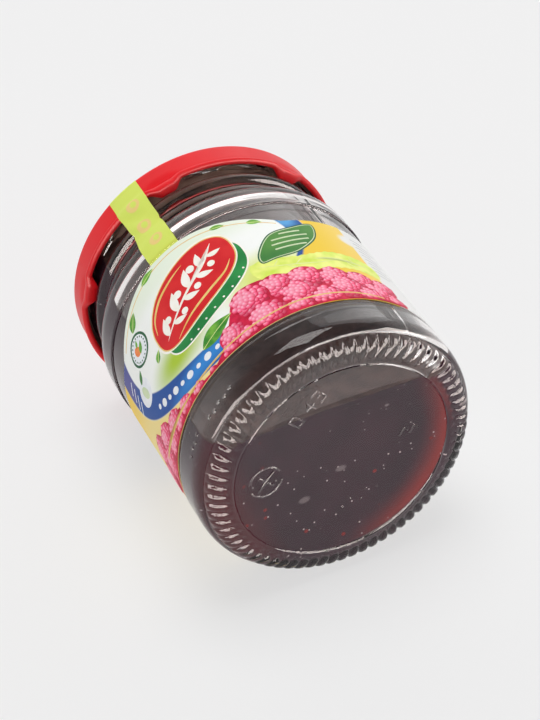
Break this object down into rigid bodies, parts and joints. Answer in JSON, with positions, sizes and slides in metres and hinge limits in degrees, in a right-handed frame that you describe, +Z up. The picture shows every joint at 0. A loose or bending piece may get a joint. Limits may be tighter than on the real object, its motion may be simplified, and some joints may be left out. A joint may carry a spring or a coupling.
{
  "type": "jam jar",
  "caption": "Glass jam jar lying on its side, with a twist-off metal lid, a paper wrap label with a seal strip, and dark jam filled to a level line.",
  "frame": {"origin": "bottom centre of the bounding box: on the ground under the lying jar, halfway between base and lid", "axes": "+Z up; the jar's own axis lies along Y, with the base towards -Y and the lid towards +Y; +X completes a right-handed frame"},
  "size_m": [0.0866, 0.1047, 0.0864],
  "materials": {
    "clear_glass": "clear polished glass",
    "red_enamel": "glossy enamel on sheet steel",
    "printed_paper": "printed satin paper",
    "berry_jam": "glossy dark jelly with fine seeds"
  },
  "bodies": {
    "root": {"glass_jar": "clear_glass", "lid": "red_enamel", "label": "printed_paper", "jam": "berry_jam"}
  },
  "joints": []
}
